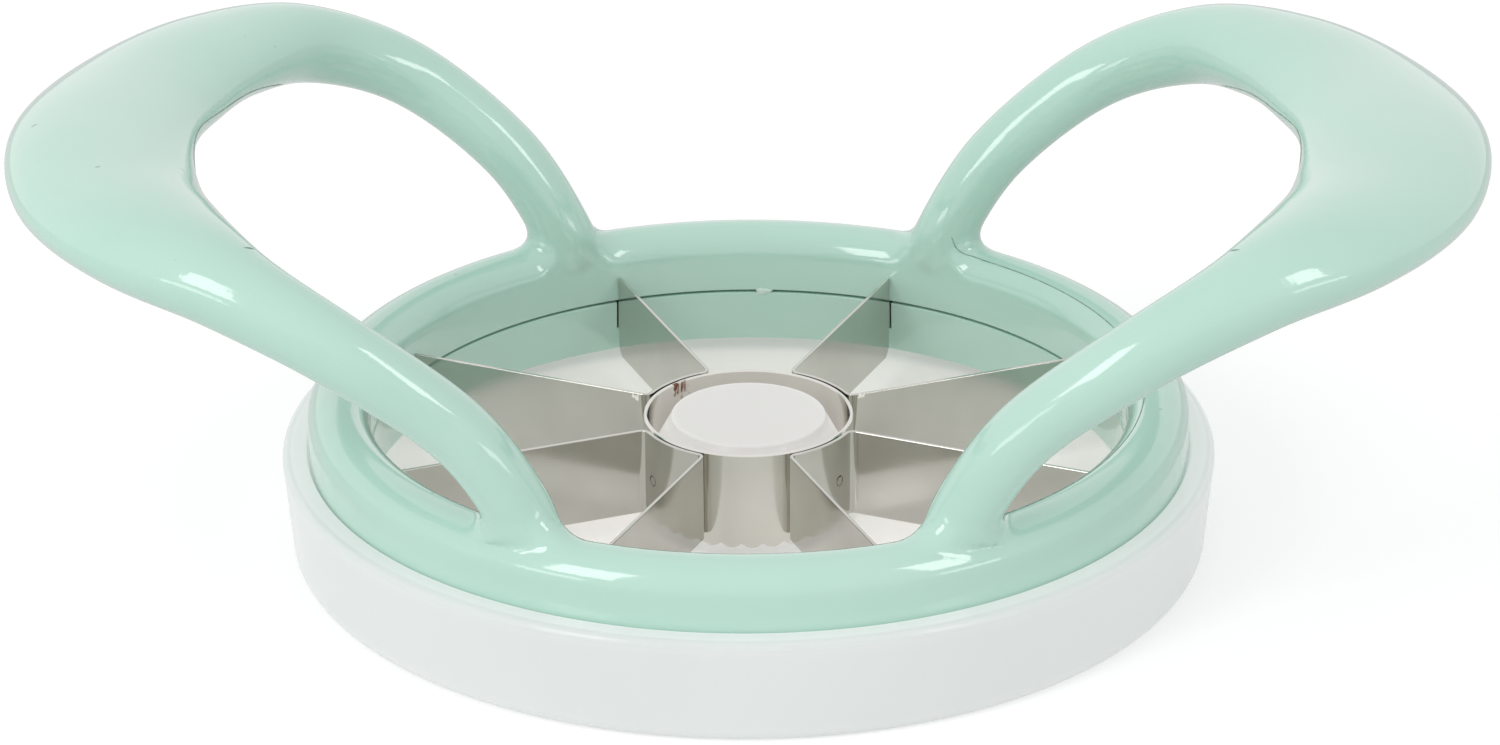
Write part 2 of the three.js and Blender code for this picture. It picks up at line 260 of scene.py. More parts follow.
def seam_material():
    """The same mint where the mould's halves met: matt, and darker as painted shade along the line."""
    n = Nodes("mint_parting_line")
    ragged = n.step(n.noise(scale=1200.0, detail=3.0), 0.35, 0.65)
    n.shader({
        "Base Color": n.blend(ragged, *MINT_SEAM_SHADE),
        "Roughness": 0.5,
        "Normal": n.bump(ragged, distance=0.02 * MM, strength=0.6),
    })
    return n.material


def torn_material():
    """The same mint where the gate broke off: paler and grainy."""
    n = Nodes("gate_trace")
    grain = n.noise(scale=1400.0, detail=3.0)
    n.shader({
        "Base Color": n.blend(grain, *MINT_TORN),
        "Roughness": 0.45,
        "Normal": n.bump(grain, distance=0.03 * MM, strength=0.6),
    })
    return n.material


def ragged_spot(n, place, centre, radius, rag):
    """One near a point and nothing further off, with a ragged edge between."""
    near, far = SPOT_FADE
    torn = n.spread(n.noise(scale=1500.0, detail=3.0, place=place), -rag, rag)
    edge = n.math("ADD", n.distance(place, centre), torn)
    return n.remap(edge, near * radius, far * radius, 1.0, 0.0)


def burn_fibres(n, place):
    """The fine upright streaks that a burn breaks into."""
    return n.remap(n.noise(scale=1.0, place=n.scaled(place, FIBRE_SCALE)), 0.4, 0.55, 0.2, 1.0)


def weld_ring(n, place, centre):
    """One along the round dent of a spot weld, open where the noise breaks it."""
    off = n.math("ABSOLUTE", n.math("SUBTRACT", n.distance(place, centre), WELD_RADIUS))
    ring = n.remap(off, *WELD_FADE, 1.0, 0.0)
    broken = n.remap(n.noise(scale=900.0, detail=1.0, place=place), 0.42, 0.55, 0.4, 1.0)
    return n.math("MULTIPLY", ring, broken)


def steel_material(name, tones, burns=(), flecks=(), welds=()):
    """Cold-rolled strip, half bright: very fine rolling lines, cloudy dull patches and its welds."""
    n = Nodes(name)
    place = n.place()
    streaks = n.noise(scale=160.0, detail=4.0, place=n.scaled(place, ROLLING_SCALE))
    clouds = n.noise(scale=90.0, detail=3.0, place=place)
    colour = n.blend(n.spread(clouds, 0.0, 1.0), *tones)
    normal = n.bump(streaks, distance=0.004 * MM, strength=0.3)
    for centre, radius in burns:
        spot = ragged_spot(n, place, centre, radius, BURN_RAG)
        colour = n.blend(n.math("MULTIPLY", spot, burn_fibres(n, place)), colour, BURN)
    for centre, radius in flecks:
        colour = n.blend(ragged_spot(n, place, centre, radius, FLECK_RAG), colour, FLECK)
    for centre in welds:
        ring = weld_ring(n, place, centre)
        colour = n.blend(ring, colour, WELD)
        normal = n.bump(ring, distance=0.05 * MM, strength=0.6, Normal=normal)
    n.shader({
        "Base Color": colour,
        "Metallic": 1.0,
        "Roughness": n.spread(clouds, 0.09, 0.16),
        "Normal": normal,
    })
    return n.material


def frost_material():
    """Frosted, slightly translucent white moulding, with painted light and shade by zone.

    The glow is painted light that stands in for light that passes through the real one. It is strongest on
    the hub's side and raised on the rim's top, and the rim's rounded edge is darker, as painted shade.
    """
    n = Nodes("frosted_tray")
    place = n.place()
    from_axis = n.add("ShaderNodeVectorMath", {0: place, 1: (1, 1, 0)}, operation="MULTIPLY").outputs[0]
    radius = n.add("ShaderNodeVectorMath", {0: from_axis}, operation="LENGTH").outputs["Value"]
    height = n.add("ShaderNodeSeparateXYZ", {0: place}).outputs["Z"]
    # The hub's side and the rim's top get more glow, as painted light
    side_painted_light = n.step(radius, *HUB_SIDE)
    on_floor = n.step(radius, *HUB_FOOT)
    on_wall = n.step(radius, *WALL_FOOT)
    # The rim's rounded edge gets a darker tone and less glow, as painted shade
    rim_painted_shade = n.math("MULTIPLY", n.step(radius, *WALL_SKIN), n.step(height, *RIM_EDGE))
    top_painted_light = n.remap(height, *RIM_TOP, 0.0, on_wall)
    cloud = n.spread(n.noise(scale=30.0, place=place), 0.0, 0.12)
    colour = n.layers(
        FROST_HUB, (on_floor, FROST_FLOOR), (on_wall, FROST_WALL), (rim_painted_shade, FROST_RIM_PAINTED_SHADE), (cloud, FROST_CLOUD),
    )
    # Painted light: a glow for the light that passes through the plastic, set zone by zone
    glow = n.layers(
        GLOW_HUB, (side_painted_light, GLOW_SIDE_PAINTED_LIGHT), (on_floor, GLOW_FLOOR), (on_wall, GLOW_WALL),
        (top_painted_light, GLOW_TOP_PAINTED_LIGHT), (rim_painted_shade, GLOW_RIM_PAINTED_SHADE),
    )
    n.shader({
        "Base Color": colour,
        "Roughness": 0.17,
        "IOR": 1.45,
        "Subsurface Weight": 1.0,
        "Subsurface Radius": (1.0, 1.0, 1.0),
        "Subsurface Scale": 2.2 * MM,
        "Emission Color": glow,
        "Emission Strength": 0.4,
        "Normal": n.bump(n.noise(scale=900.0), distance=0.02 * MM, strength=0.3),
    })
    return n.material


def zinc_material():
    """Zinc-plated steel, slightly grainy."""
    n = Nodes("screw_steel")
    grain = n.noise(scale=900.0, detail=3.0)
    n.shader({
        "Base Color": n.blend(grain, *ZINC),
        "Metallic": 1.0,
        "Roughness": n.spread(grain, 0.28, 0.42),
    })
    return n.material


# Mesh tools

TURN_STEPS = 288
SAME_PLACE = 1e-7


def put(name, data):
    """A new object in the scene."""
    made = bpy.data.objects.new(name, data)
    bpy.context.scene.collection.objects.link(made)
    return made


def mesh_of(made, name):
    """The mesh of a bmesh, which is freed."""
    mesh = bpy.data.meshes.new(name)
    made.to_mesh(mesh)
    made.free()
    return mesh


def shade(mesh, sharp_degrees):
    """Smooth faces, and sharp edges where the faces meet at more than this angle."""
    mesh.polygons.foreach_set("use_smooth", [True] * len(mesh.polygons))
    mesh.set_sharp_from_angle(angle=math.radians(sharp_degrees))


def mesh_object(name, vertices, faces, sharp_degrees=40):
    mesh = bpy.data.meshes.new(name)
    mesh.from_pydata([tuple(v) for v in vertices], [], [tuple(f) for f in faces])
    mesh.validate()
    shade(mesh, sharp_degrees)
    return put(name, mesh)


def arc(centre_radius, centre_height, radius, start, end, steps):
    """Points on an arc in the radius and height plane, both ends included, angles in degrees."""
    turns = np.radians(np.linspace(start, end, steps + 1))
    return [(centre_radius + radius * math.cos(t), centre_height + radius * math.sin(t)) for t in turns]


def tube_faces(rows, columns):
    """Quads between rows of points, each row closed to a loop."""
    faces = []
    for i in range(rows - 1):
        for j in range(columns):
            a, b = i * columns + j, i * columns + (j + 1) % columns
            faces.append((a, b, b + columns, a + columns))
    return faces


def lathe(name, outlines, closed=True, sharp_degrees=40):
    """A skin through outlines of radius and height that stand evenly round the Z axis."""
    turns, count = len(outlines), len(outlines[0])
    vertices, faces = [], []
    for i, outline in enumerate(outlines):
        turn = 2 * math.pi * i / turns
        vertices += [(r * math.cos(turn), r * math.sin(turn), z) for r, z in outline]
        here, there = i * count, (i + 1) % turns * count
        for j in range(count if closed else count - 1):
            k = (j + 1) % count
            faces.append((here + j, there + j, there + k, here + k))
    piece = mesh_object(name, vertices, faces, sharp_degrees)
    clean(piece)
    return piece


def revolve(name, outline, closed=True):
    return lathe(name, [outline] * TURN_STEPS, closed)


def clean(piece):
    """Merges points at one place and turns all faces outwards."""
    made = bmesh.new()
    made.from_mesh(piece.data)
    bmesh.ops.remove_doubles(made, verts=made.verts, dist=SAME_PLACE)
    bmesh.ops.dissolve_degenerate(made, edges=made.edges, dist=SAME_PLACE)
    bmesh.ops.recalc_face_normals(made, faces=made.faces)
    made.to_mesh(piece.data)
    made.free()


def apply_modifiers(piece):
    """Bakes the piece's modifiers into its mesh."""
    evaluated = piece.evaluated_get(bpy.context.evaluated_depsgraph_get())
    baked = bpy.data.meshes.new_from_object(evaluated)
    piece.modifiers.clear()
    piece.data = baked


def even_normals(piece):
    """Keeps flat faces flat in their shading beside narrow rounded edges."""
    weighted = piece.modifiers.new("normals", "WEIGHTED_NORMAL")
    weighted.keep_sharp = True
    apply_modifiers(piece)


def join(name, pieces):
    """One object from several, with their meshes side by side."""
    made = bmesh.new()
    for piece in pieces:
        made.from_mesh(piece.data)
        bpy.data.objects.remove(piece)
    return put(name, mesh_of(made, name))


def dress(piece, material, body, slot, *nodes):
    """Gives a piece its material, the nodes that it replaces and the body that it rides on. The slot is not
    used.
    """
    piece.data.materials.clear()
    piece.data.materials.append(material)
    if nodes:
        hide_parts(*nodes)
    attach(piece, body)
    return piece


# The frame: a smooth blend of the ring and the two loops

# Places along a loop where its centre and half sizes are worked out
STATION_COUNT = 241
MIDDLE_STATION = STATION_COUNT // 2
# Where the grip swells: how much, how many stations from the grip's middle, and over how many
HOLE_SWELLS = [(1.0 * MM, 46, 9), (0.55 * MM, 18, 7)]
THICK_SWELL = (0.24 * MM, 46, 10)
GRIP_TRIM = (0.03 * MM, 0, 9)
SOFT_WIDTH = 4
SOFT_REACH = 20
REACH_OF_FIELD = 14 * MM
# The blend is full where one less the cosine between the skins reaches this
BLEND_CORNER = 0.8
BLEND_RADIUS = 3.4 * MM
BLEND_FADE = (13.2 * MM, 16.0 * MM)
FIELD_STEP = 0.5 * MM
COARSE_STRIDE = 4
COARSE_MARGIN = 3.4 * MM
SETTLE_ROUNDS = 2
SETTLE_NUDGE = 0.02 * MM
# Below these a length, a steepness and a squared slope are held, so that nothing divides by zero
LEAST_LENGTH = 1e-9
LEAST_STEEPNESS = 1e-6
LEAST_SLOPE = 0.25
SEAM_ROUND = 0.2 * MM
CUT_HEIGHT = SEAM_HEIGHT + SEAM_ROUND


def smooth_share(value):
    """Zero to one with soft ends."""
    value = np.clip(value, 0, 1)
    return value * value * (3 - 2 * value)


def unit(vectors):
    return vectors / np.linalg.norm(vectors, axis=1)[:, None]


def catmull(points, count):
    """A uniform Catmull-Rom curve through points, as count places from the first to the last."""
    points = np.asarray(points, float)
    ends = np.vstack([2 * points[0] - points[1], points, 2 * points[-1] - points[-2]])
    where = np.linspace(0, len(points) - 1, count)
    i = np.minimum(where.astype(int), len(points) - 2)
    t = (where - i)[:, None]
    a, b, c, d = ends[i], ends[i + 1], ends[i + 2], ends[i + 3]
    first, second = (c - a) / 2, (d - b) / 2
    cubic = 2 * b - 2 * c + first + second
    square = -3 * b + 3 * c - 2 * first - second
    return cubic * t**3 + square * t**2 + first * t + b


def swell(amount, place, width):
    """A smooth rise at two mirrored places along the loop."""
    from_middle = np.abs(np.arange(STATION_COUNT) - MIDDLE_STATION)
    return amount * np.exp(-0.5 * ((from_middle - place) / width) ** 2)


def soften(values):
    """Each column, with its corners rounded by a weighted mean of its neighbours."""
    weights = np.exp(-0.5 * (np.arange(-SOFT_REACH, SOFT_REACH + 1) / SOFT_WIDTH) ** 2)
    weights /= weights.sum()
    longer = np.concatenate([values[SOFT_REACH:0:-1], values, values[-2:-SOFT_REACH - 2:-1]])
    return np.stack([np.convolve(column, weights, "valid") for column in longer.T], axis=1)


def loop_stations():
    """Centres, frames and half sizes along one whole loop, from root to root."""
    root_x = RING_MIDDLE * math.cos(ROOT_ANGLE)
    root_y = RING_MIDDLE * math.sin(ROOT_ANGLE)
    half, sizes = [], []
    for i, reach in enumerate(REACH_SHARES):
        half.append((
            root_x + reach * (HANDLE_REACH - root_x),
            root_y * SPREAD_SHARES[i],
            CROWN_CENTRE + RISE_SHARES[i] * HANDLE_RISE,
        ))
        leg = ROOT_HALF_WIDTH + LEG_WIDTH_SHARES[i] * (LEG_HALF - ROOT_HALF_WIDTH)
        sizes.append((
            leg + PAD_WIDTH_SHARES[i] * (PAD_HALF_WIDTH - leg),
            LEG_HALF + PAD_THICKNESS_SHARES[i] * (PAD_HALF_THICKNESS - LEG_HALF),
        ))
    whole = half + [(x, -y, z) for x, y, z in half[-2::-1]]
    centres = catmull(whole, STATION_COUNT)
    halves = catmull(sizes + sizes[-2::-1], STATION_COUNT)
    along = unit(np.gradient(centres, axis=0))
    across = unit(np.cross((0, 0, 1), along))
    over = np.cross(along, across)
    radial = unit(centres * (1, 1, 0))
    tangent = np.cross((0, 0, 1), radial)
    radial *= np.sign((across * radial).sum(axis=1))[:, None]
    tangent *= np.sign((over * tangent).sum(axis=1))[:, None]
    raised = smooth_share((centres[:, 2] - CROWN_CENTRE) / ROOT_TURN_HEIGHT)[:, None]
    across = unit(radial + (across - radial) * raised)
    over = unit(tangent + (over - tangent) * raised)
    halves = soften(halves)
    inward = sum(swell(*values) for values in HOLE_SWELLS) / 2
    centres = centres - across * inward[:, None]
    halves[:, 0] += inward
    halves[:, 1] += swell(*THICK_SWELL) - swell(*GRIP_TRIM)
    return centres, across, over, halves


STATIONS = loop_stations()


def loop_distance(points):
    """Distance from the loop's skin and its slope, for points folded to the positive side of x and y."""
    centres, across, over, halves = STATIONS
    nearest = np.full(len(points), REACH_OF_FIELD)
    distance = np.full(len(points), REACH_OF_FIELD)
    slope = np.zeros((len(points), 3))
    for i in range((STATION_COUNT + 1) // 2):
        start, step = centres[i], centres[i + 1] - centres[i]
        near = np.flatnonzero(np.abs(points - start).max(axis=1) < REACH_OF_FIELD)
        away = points[near] - start
        t = np.clip(away @ step / (step @ step), 0, 1)
        gap = away - t[:, None] * step
        length = np.linalg.norm(gap, axis=1)
        closer = length < nearest[near]
        near, gap, t = near[closer], gap[closer], t[closer][:, None]
        nearest[near] = length[closer]
        size = halves[i] * (1 - t) + halves[i + 1] * t
        side = across[i] * (1 - t) + across[i + 1] * t
        top = over[i] * (1 - t) + over[i + 1] * t
        u = (gap * side).sum(axis=1)[:, None]
        v = (gap * top).sum(axis=1)[:, None]
        lengthwise = gap - u * side - v * top
        wide, thick = size[:, :1], size[:, 1:]
        least = size.min(axis=1)[:, None]
        endwise = (lengthwise**2).sum(axis=1)[:, None] / least**2
        scaled = np.sqrt((u / wide) ** 2 + (v / thick) ** 2 + endwise)
        steep = u / wide**2 * side + v / thick**2 * top + lengthwise / least**2
        steepness = np.maximum(np.linalg.norm(steep, axis=1), LEAST_STEEPNESS)
        distance[near] = scaled[:, 0] * (scaled[:, 0] - 1) / steepness
        slope[near] = steep / steepness[:, None]
    return distance, slope


def frame_distance(points):
    """Distance from the frame's skin above the cut.

    The ring's crown and the loops blend where they meet at an angle.
    """
    folded = np.abs(points)
    radius = np.hypot(folded[:, 0], folded[:, 1])
    above = np.maximum(points[:, 2] - CROWN_CENTRE, 0)
    from_crown = np.maximum(np.hypot(radius - RING_MIDDLE, above), LEAST_LENGTH)
    ring = from_crown - CROWN_RADIUS
    outward = (radius - RING_MIDDLE) / from_crown / np.maximum(radius, LEAST_LENGTH)
    ring_slope = np.stack([folded[:, 0] * outward, folded[:, 1] * outward, above / from_crown], axis=1)
    loop, loop_slope = loop_distance(folded)
    low, high = BLEND_FADE
    corner = smooth_share((1 - (ring_slope * loop_slope).sum(axis=1)) / BLEND_CORNER)
    fade = smooth_share((points[:, 2] - low) / (high - low))
    width = np.maximum(BLEND_RADIUS * corner * fade, LEAST_LENGTH)
    meet = np.maximum(width - np.abs(ring - loop), 0) / width
    return np.minimum(ring, loop) - meet * meet * width / 4


def surface_net(field, low, step):
    """A quad skin on the zero level of a grid of distances."""
    inside = field < 0
    shape = np.array(field.shape) - 1
    corners = [(i, j, k) for i in (0, 1) for j in (0, 1) for k in (0, 1)]
    count = np.zeros(shape, np.int8)
    for i, j, k in corners:
        count += inside[i:i + shape[0], j:j + shape[1], k:k + shape[2]]
    cells = np.argwhere((count > 0) & (count < 8))
    values = np.stack([field[tuple((cells + c).T)] for c in corners], axis=1)
    total = np.zeros((len(cells), 3))
    crossings = np.zeros(len(cells))
    for a in range(8):
        for b in range(a + 1, 8):
            first, second = np.array(corners[a]), np.array(corners[b])
            if np.abs(first - second).sum() != 1:
                continue
            crossed = (values[:, a] < 0) != (values[:, b] < 0)
            t = values[crossed, a] / (values[crossed, a] - values[crossed, b])
            total[crossed] += first + t[:, None] * (second - first)
            crossings[crossed] += 1
    vertices = low + (cells + total / crossings[:, None]) * step
    number = np.full(shape, -1, np.int32)
    number[tuple(cells.T)] = np.arange(len(cells))
    faces = []
    for axis in range(3):
        head = np.take(inside, range(1, field.shape[axis]), axis)
        tail = np.take(inside, range(0, field.shape[axis] - 1), axis)
        edges = np.argwhere(head != tail)
        u, v = (axis + 1) % 3, (axis + 2) % 3
        fits = (edges[:, u] > 0) & (edges[:, v] > 0) & (edges[:, u] < shape[u]) & (edges[:, v] < shape[v])
        edges = edges[fits]
        ring = []
        for du, dv in ((1, 1), (0, 1), (0, 0), (1, 0)):
            cell = edges.copy()
            cell[:, u] -= du
            cell[:, v] -= dv
            ring.append(number[tuple(cell.T)])
        quads = np.stack(ring, axis=1)
        turned = tail[tuple(edges.T)]
        quads[~turned] = quads[~turned][:, ::-1]
        faces.append(quads)
    return vertices, np.vstack(faces)


def quarter_field(xs, ys, zs):
    """Distances on the grid. Far from the skin only their sign is right, as a coarse grid gives it."""
    def ask(*axes):
        grid = np.stack(np.meshgrid(*axes, indexing="ij"), axis=-1).reshape(-1, 3)
        return frame_distance(grid).reshape([len(axis) for axis in axes])
    rough = ask(*(axis[::COARSE_STRIDE] for axis in (xs, ys, zs)))
    nearest = []
    for axis in (xs, ys, zs):
        number = np.round(np.arange(len(axis)) / COARSE_STRIDE).astype(int)
        nearest.append(np.minimum(number, (len(axis) - 1) // COARSE_STRIDE))
    field = rough[np.ix_(*nearest)]
    near = np.argwhere(np.abs(field) < COARSE_MARGIN)
    places = np.stack([xs[near[:, 0]], ys[near[:, 1]], zs[near[:, 2]]], axis=1)
    field[tuple(near.T)] = frame_distance(places)
    return field


def settle(points):
    """The same points, moved onto the frame's skin."""
    for _ in range(SETTLE_ROUNDS):
        value = frame_distance(points)
        nudged = [frame_distance(points + SETTLE_NUDGE * axis) for axis in np.eye(3)]
        slope = np.stack([(there - value) / SETTLE_NUDGE for there in nudged], axis=1)
        move = value[:, None] * slope / np.maximum((slope**2).sum(axis=1), LEAST_SLOPE)[:, None]
        points = points - np.clip(move, -FIELD_STEP, FIELD_STEP)
    return points


def skin_of_frame():
    """The frame above the cut, from one quarter mirrored twice."""
    reach = HANDLE_REACH + PAD_HALF_WIDTH + 2 * FIELD_STEP
    spread = RING_OUTER + 2 * FIELD_STEP
    top = CROWN_CENTRE + HANDLE_RISE + PAD_HALF_THICKNESS + 2 * FIELD_STEP
    xs = (np.arange(int(reach / FIELD_STEP)) + 0.5) * FIELD_STEP
    ys = (np.arange(int(spread / FIELD_STEP)) + 0.5) * FIELD_STEP
    zs = np.arange(CUT_HEIGHT - FIELD_STEP / 2, top, FIELD_STEP)
    quarter = quarter_field(xs, ys, zs)
    half = np.concatenate([quarter[::-1], quarter], axis=0)
    field = np.concatenate([half[:, ::-1], half], axis=1)
    vertices, faces = surface_net(field, np.array([-xs[-1], -ys[-1], zs[0]]), FIELD_STEP)
    sides = np.where(vertices < 0, -1.0, 1.0) * (1, 1, 0) + (0, 0, 1)
    folded, where = np.unique(np.round(vertices * sides, 8), axis=0, return_inverse=True)
    return settle(folded)[where.ravel()] * sides, faces


def build_frame(mint):
    """The skin above the cut, and the ring's skirt below it."""
    vertices, faces = skin_of_frame()
    upper = mesh_object("frame_skin", vertices, faces, sharp_degrees=80)
    socket = RING_OUTER - SKIRT_WALL
    overlap = FIELD_STEP / 2
    lower_outline = [
        (RING_OUTER, CUT_HEIGHT + overlap),
        (RING_OUTER, SKIRT_BOTTOM + EDGE_ROUND),
        *arc(RING_OUTER - EDGE_ROUND, SKIRT_BOTTOM + EDGE_ROUND, EDGE_ROUND, 0, -90, 5),
        (socket, SKIRT_BOTTOM),
        (socket, SEAM_HEIGHT),
        *arc(OPENING_RADIUS + SEAM_ROUND, SEAM_HEIGHT + SEAM_ROUND, SEAM_ROUND, 270, 180, 4),
        (OPENING_RADIUS, CUT_HEIGHT + overlap),
    ]
    lower = revolve("frame_skirt", lower_outline, closed=False)
    whole = join("handle_frame_skin", [upper, lower])
    return dress(whole, mint, "slicer", "mint_gloss", "handle_frame")


# Traces of the mould on the frame

BEAD_SIDES = 6
BEAD_TIP = 3
BEAD_THINNEST = 0.05
# No traced line runs this way, so it serves to find a line's sides
ASKEW = (0.31, 0.22, 0.93)
SEAM_RADIUS = 0.075 * MM
LOOP_SEAM_ENDS = (78, 162)
LOOP_SEAM_SPREAD = [0, 4, 14, 22, 28, 35, 42]
LOOP_SEAM_OFFSET = [0.45, 0.4, -0.39, -0.8, -1.4, -2.37, -3.55]
RING_SEAM_RADIUS = 47.55 * MM
RING_SEAM_HEIGHT = 19.9 * MM
RING_SEAM_CURL = [
    (25.3, 38.6, 22.7), (25.5, 38.6, 22.2), (25.8, 38.5, 21.4),
    (26.2, 38.4, 20.9), (27.1, 38.4, 20.3), (28.4, 38.1, 20.0),
]
RING_SEAM_SKIP = 0.06
RING_SEAM_TURNS = 120
RING_SEAM_POINTS = 400
CHIP_PLACE = (54.3 * MM, -38.7 * MM, 52.3 * MM)
CHIP_ALONG = (0.62, -0.62, 0.48)
CHIP_HALF = 0.8 * MM
CHIP_POINTS = 9
CHIP_RADIUS = 0.11 * MM
GATE_PLACE = (1.2 * MM, OPENING_RADIUS - 0.02 * MM, 12.1 * MM)
GATE_SIZE = (1.0 * MM, 0.22 * MM, 0.45 * MM)
GATE_BROAD = 0.16
GATE_FINE = 0.1
GATE_ROWS = 10
GATE_COLUMNS = 24


def bead(path, radius):
    """A thin tube along a path of points, drawn out to nothing at both ends."""
    path = np.asarray(path)
    count = len(path)
    along = unit(np.gradient(path, axis=0))
    side = unit(np.cross(along, ASKEW))
    up = np.cross(along, side)
    from_end = np.minimum(np.arange(count), count - 1 - np.arange(count))
    thick = radius * np.clip(from_end / BEAD_TIP, BEAD_THINNEST, 1)
    vertices = []
    for i in range(count):
        for t in np.linspace(0, 2 * math.pi, BEAD_SIDES, endpoint=False):
            vertices.append(path[i] + thick[i] * (math.cos(t) * side[i] + math.sin(t) * up[i]))
    faces = tube_faces(count, BEAD_SIDES)
    faces.append(tuple(range(BEAD_SIDES))[::-1])
    faces.append(tuple(range((count - 1) * BEAD_SIDES, count * BEAD_SIDES)))
    piece = mesh_object("bead", vertices, faces, sharp_degrees=80)
    clean(piece)
    return piece


def loop_seam():
    """The line along the hole's side of the loop at +X."""
    centres, across, over, halves = STATIONS
    first, last = LOOP_SEAM_ENDS
    i = np.arange(first, last + 1)
    v = np.interp(np.abs(i - MIDDLE_STATION), LOOP_SEAM_SPREAD, LOOP_SEAM_OFFSET) * MM
    u = -halves[i, 0] * np.sqrt(1 - (v / halves[i, 1]) ** 2)
    return settle(centres[i] + u[:, None] * across[i] + v[:, None] * over[i])


def ring_seam():
    """The line inside the crown at +X, with a curl where it runs up each root."""
    curl = np.array(RING_SEAM_CURL) * MM
    end = math.atan2(curl[-1][1], curl[-1][0]) - RING_SEAM_SKIP
    turns = np.linspace(end, -end, RING_SEAM_TURNS)
    height = np.full(len(turns), RING_SEAM_HEIGHT)
    middle = np.stack([RING_SEAM_RADIUS * np.cos(turns), RING_SEAM_RADIUS * np.sin(turns), height], axis=1)
    return settle(catmull(np.vstack([curl, middle, curl[::-1] * (1, -1, 1)]), RING_SEAM_POINTS))


def build_seams():
    """Parting lines of the mould, and the chip that it left on each handle."""
    line = loop_seam()
    chip = np.array(CHIP_PLACE) + np.linspace(-CHIP_HALF, CHIP_HALF, CHIP_POINTS)[:, None] * CHIP_ALONG
    pieces = [bead(ring_seam(), SEAM_RADIUS)]
    for side in ((1, 1, 1), (-1, 1, 1)):
        pieces.append(bead(line * side, SEAM_RADIUS))
        pieces.append(bead(settle(chip) * side, CHIP_RADIUS))
    return dress(join("parting_lines", pieces), seam_material(), "slicer", "mint_gloss")


def build_gate_trace():
    """The torn lump where the mould's gate broke off, on the inner wall at the back."""
    vertices = []
    for i in range(GATE_ROWS + 1):
        lift = math.pi * i / GATE_ROWS - math.pi / 2
        for j in range(GATE_COLUMNS):
            turn = 2 * math.pi * j / GATE_COLUMNS
            wide = math.cos(lift)
            away = np.array((wide * math.cos(turn), math.sin(lift), wide * math.sin(turn)))
            broad = GATE_BROAD * math.sin(3 * turn + 1) * wide
            fine = GATE_FINE * math.sin(7 * turn + 4 * lift)
            vertices.append(np.array(GATE_PLACE) + away * GATE_SIZE * (1 + broad + fine))
    piece = mesh_object("gate_trace", vertices, tube_faces(GATE_ROWS + 1, GATE_COLUMNS), sharp_degrees=50)
    clean(piece)
    return dress(piece, torn_material(), "slicer", "mint_gloss")


# The retainer ring with its eight slots

SLOT_GAP = 0.12 * MM
RETAINER_TOP_ROUND = 0.2 * MM
SCREW_HEAD_RADIUS = 1.95 * MM
SCREW_HEAD_DEPTH = 2.1 * MM
SCREW_SHANK_RADIUS = 1.25 * MM
# A cut reaches this far past the skin
OVERCUT = 1 * MM


def slot_angles():
    """Where the eight blades stand round the Z axis."""
    return [(i + 0.5) * math.pi / 4 for i in range(8)]


def build_retainer(mint):
    """The lower ring, with a slot for each blade's tab and a stepped hole for each screw."""
    inner = OPENING_RADIUS + RETAINER_DRAFT
    top_round = RETAINER_TOP_ROUND
    outline = [
        *arc(RETAINER_RADIUS - EDGE_ROUND, RETAINER_BOTTOM + EDGE_ROUND, EDGE_ROUND, -90, 0, 4),
        *arc(RETAINER_RADIUS - EDGE_ROUND / 2, RETAINER_TOP - EDGE_ROUND / 2, EDGE_ROUND / 2, 0, 90, 3),
        *arc(OPENING_RADIUS + top_round, RETAINER_TOP - top_round, top_round, 90, 180, 4),
        *arc(inner + RETAINER_ROUND, RETAINER_BOTTOM + RETAINER_ROUND, RETAINER_ROUND, 180, 270, 6),
    ]
    ring = revolve("retainer_ring_skin", outline)
    cutter = bmesh.new()
    slot_width = BLADE_THICKNESS + 2 * SLOT_GAP
    slot_bottom = RETAINER_TOP - TAB_HEIGHT - SEAT_GAP
    inner_end, outer_end = OPENING_RADIUS - OVERCUT, TAB_END + SEAT_GAP
    height = RETAINER_TOP + OVERCUT - slot_bottom
    for angle in slot_angles():
        size = Matrix.Diagonal((outer_end - inner_end, slot_width, height, 1))
        centre = Vector(((inner_end + outer_end) / 2, 0, slot_bottom + height / 2))
        place = Matrix.Rotation(angle, 4, "Z") @ Matrix.Translation(centre) @ size
        bmesh.ops.create_cube(cutter, size=1, matrix=place)
    for name in SCREWS:
        low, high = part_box(name)
        middle = (low + high) / 2
        for radius, bottom, top in (
            (SCREW_HEAD_RADIUS, RETAINER_BOTTOM - OVERCUT, RETAINER_BOTTOM + SCREW_HEAD_DEPTH),
            (SCREW_SHANK_RADIUS, RETAINER_BOTTOM, RETAINER_TOP + OVERCUT),
        ):
            place = Matrix.Translation((middle.x, middle.y, (bottom + top) / 2))
            bmesh.ops.create_cone(
                cutter, cap_ends=True, segments=32, radius1=radius, radius2=radius,
                depth=top - bottom, matrix=place,
            )
    cuts = put("retainer_cuts", mesh_of(cutter, "retainer_cuts"))
    boolean = ring.modifiers.new("cuts", "BOOLEAN")
    boolean.operation = "DIFFERENCE"
    boolean.solver = "EXACT"
    boolean.use_self = True
    boolean.object = cuts
    apply_modifiers(ring)
    bpy.data.objects.remove(cuts)
    shade(ring.data, 40)
    even_normals(ring)
    return dress(ring, mint, "slicer", "mint_gloss", "retainer_ring")


# The core ring and the folded blade strips

SCALLOP_STEPS = 16
CORE_EDGE = 0.1 * MM
FOLD_STEPS = 8
HUG_STEPS = 25
STRIP_EDGE = 0.08 * MM


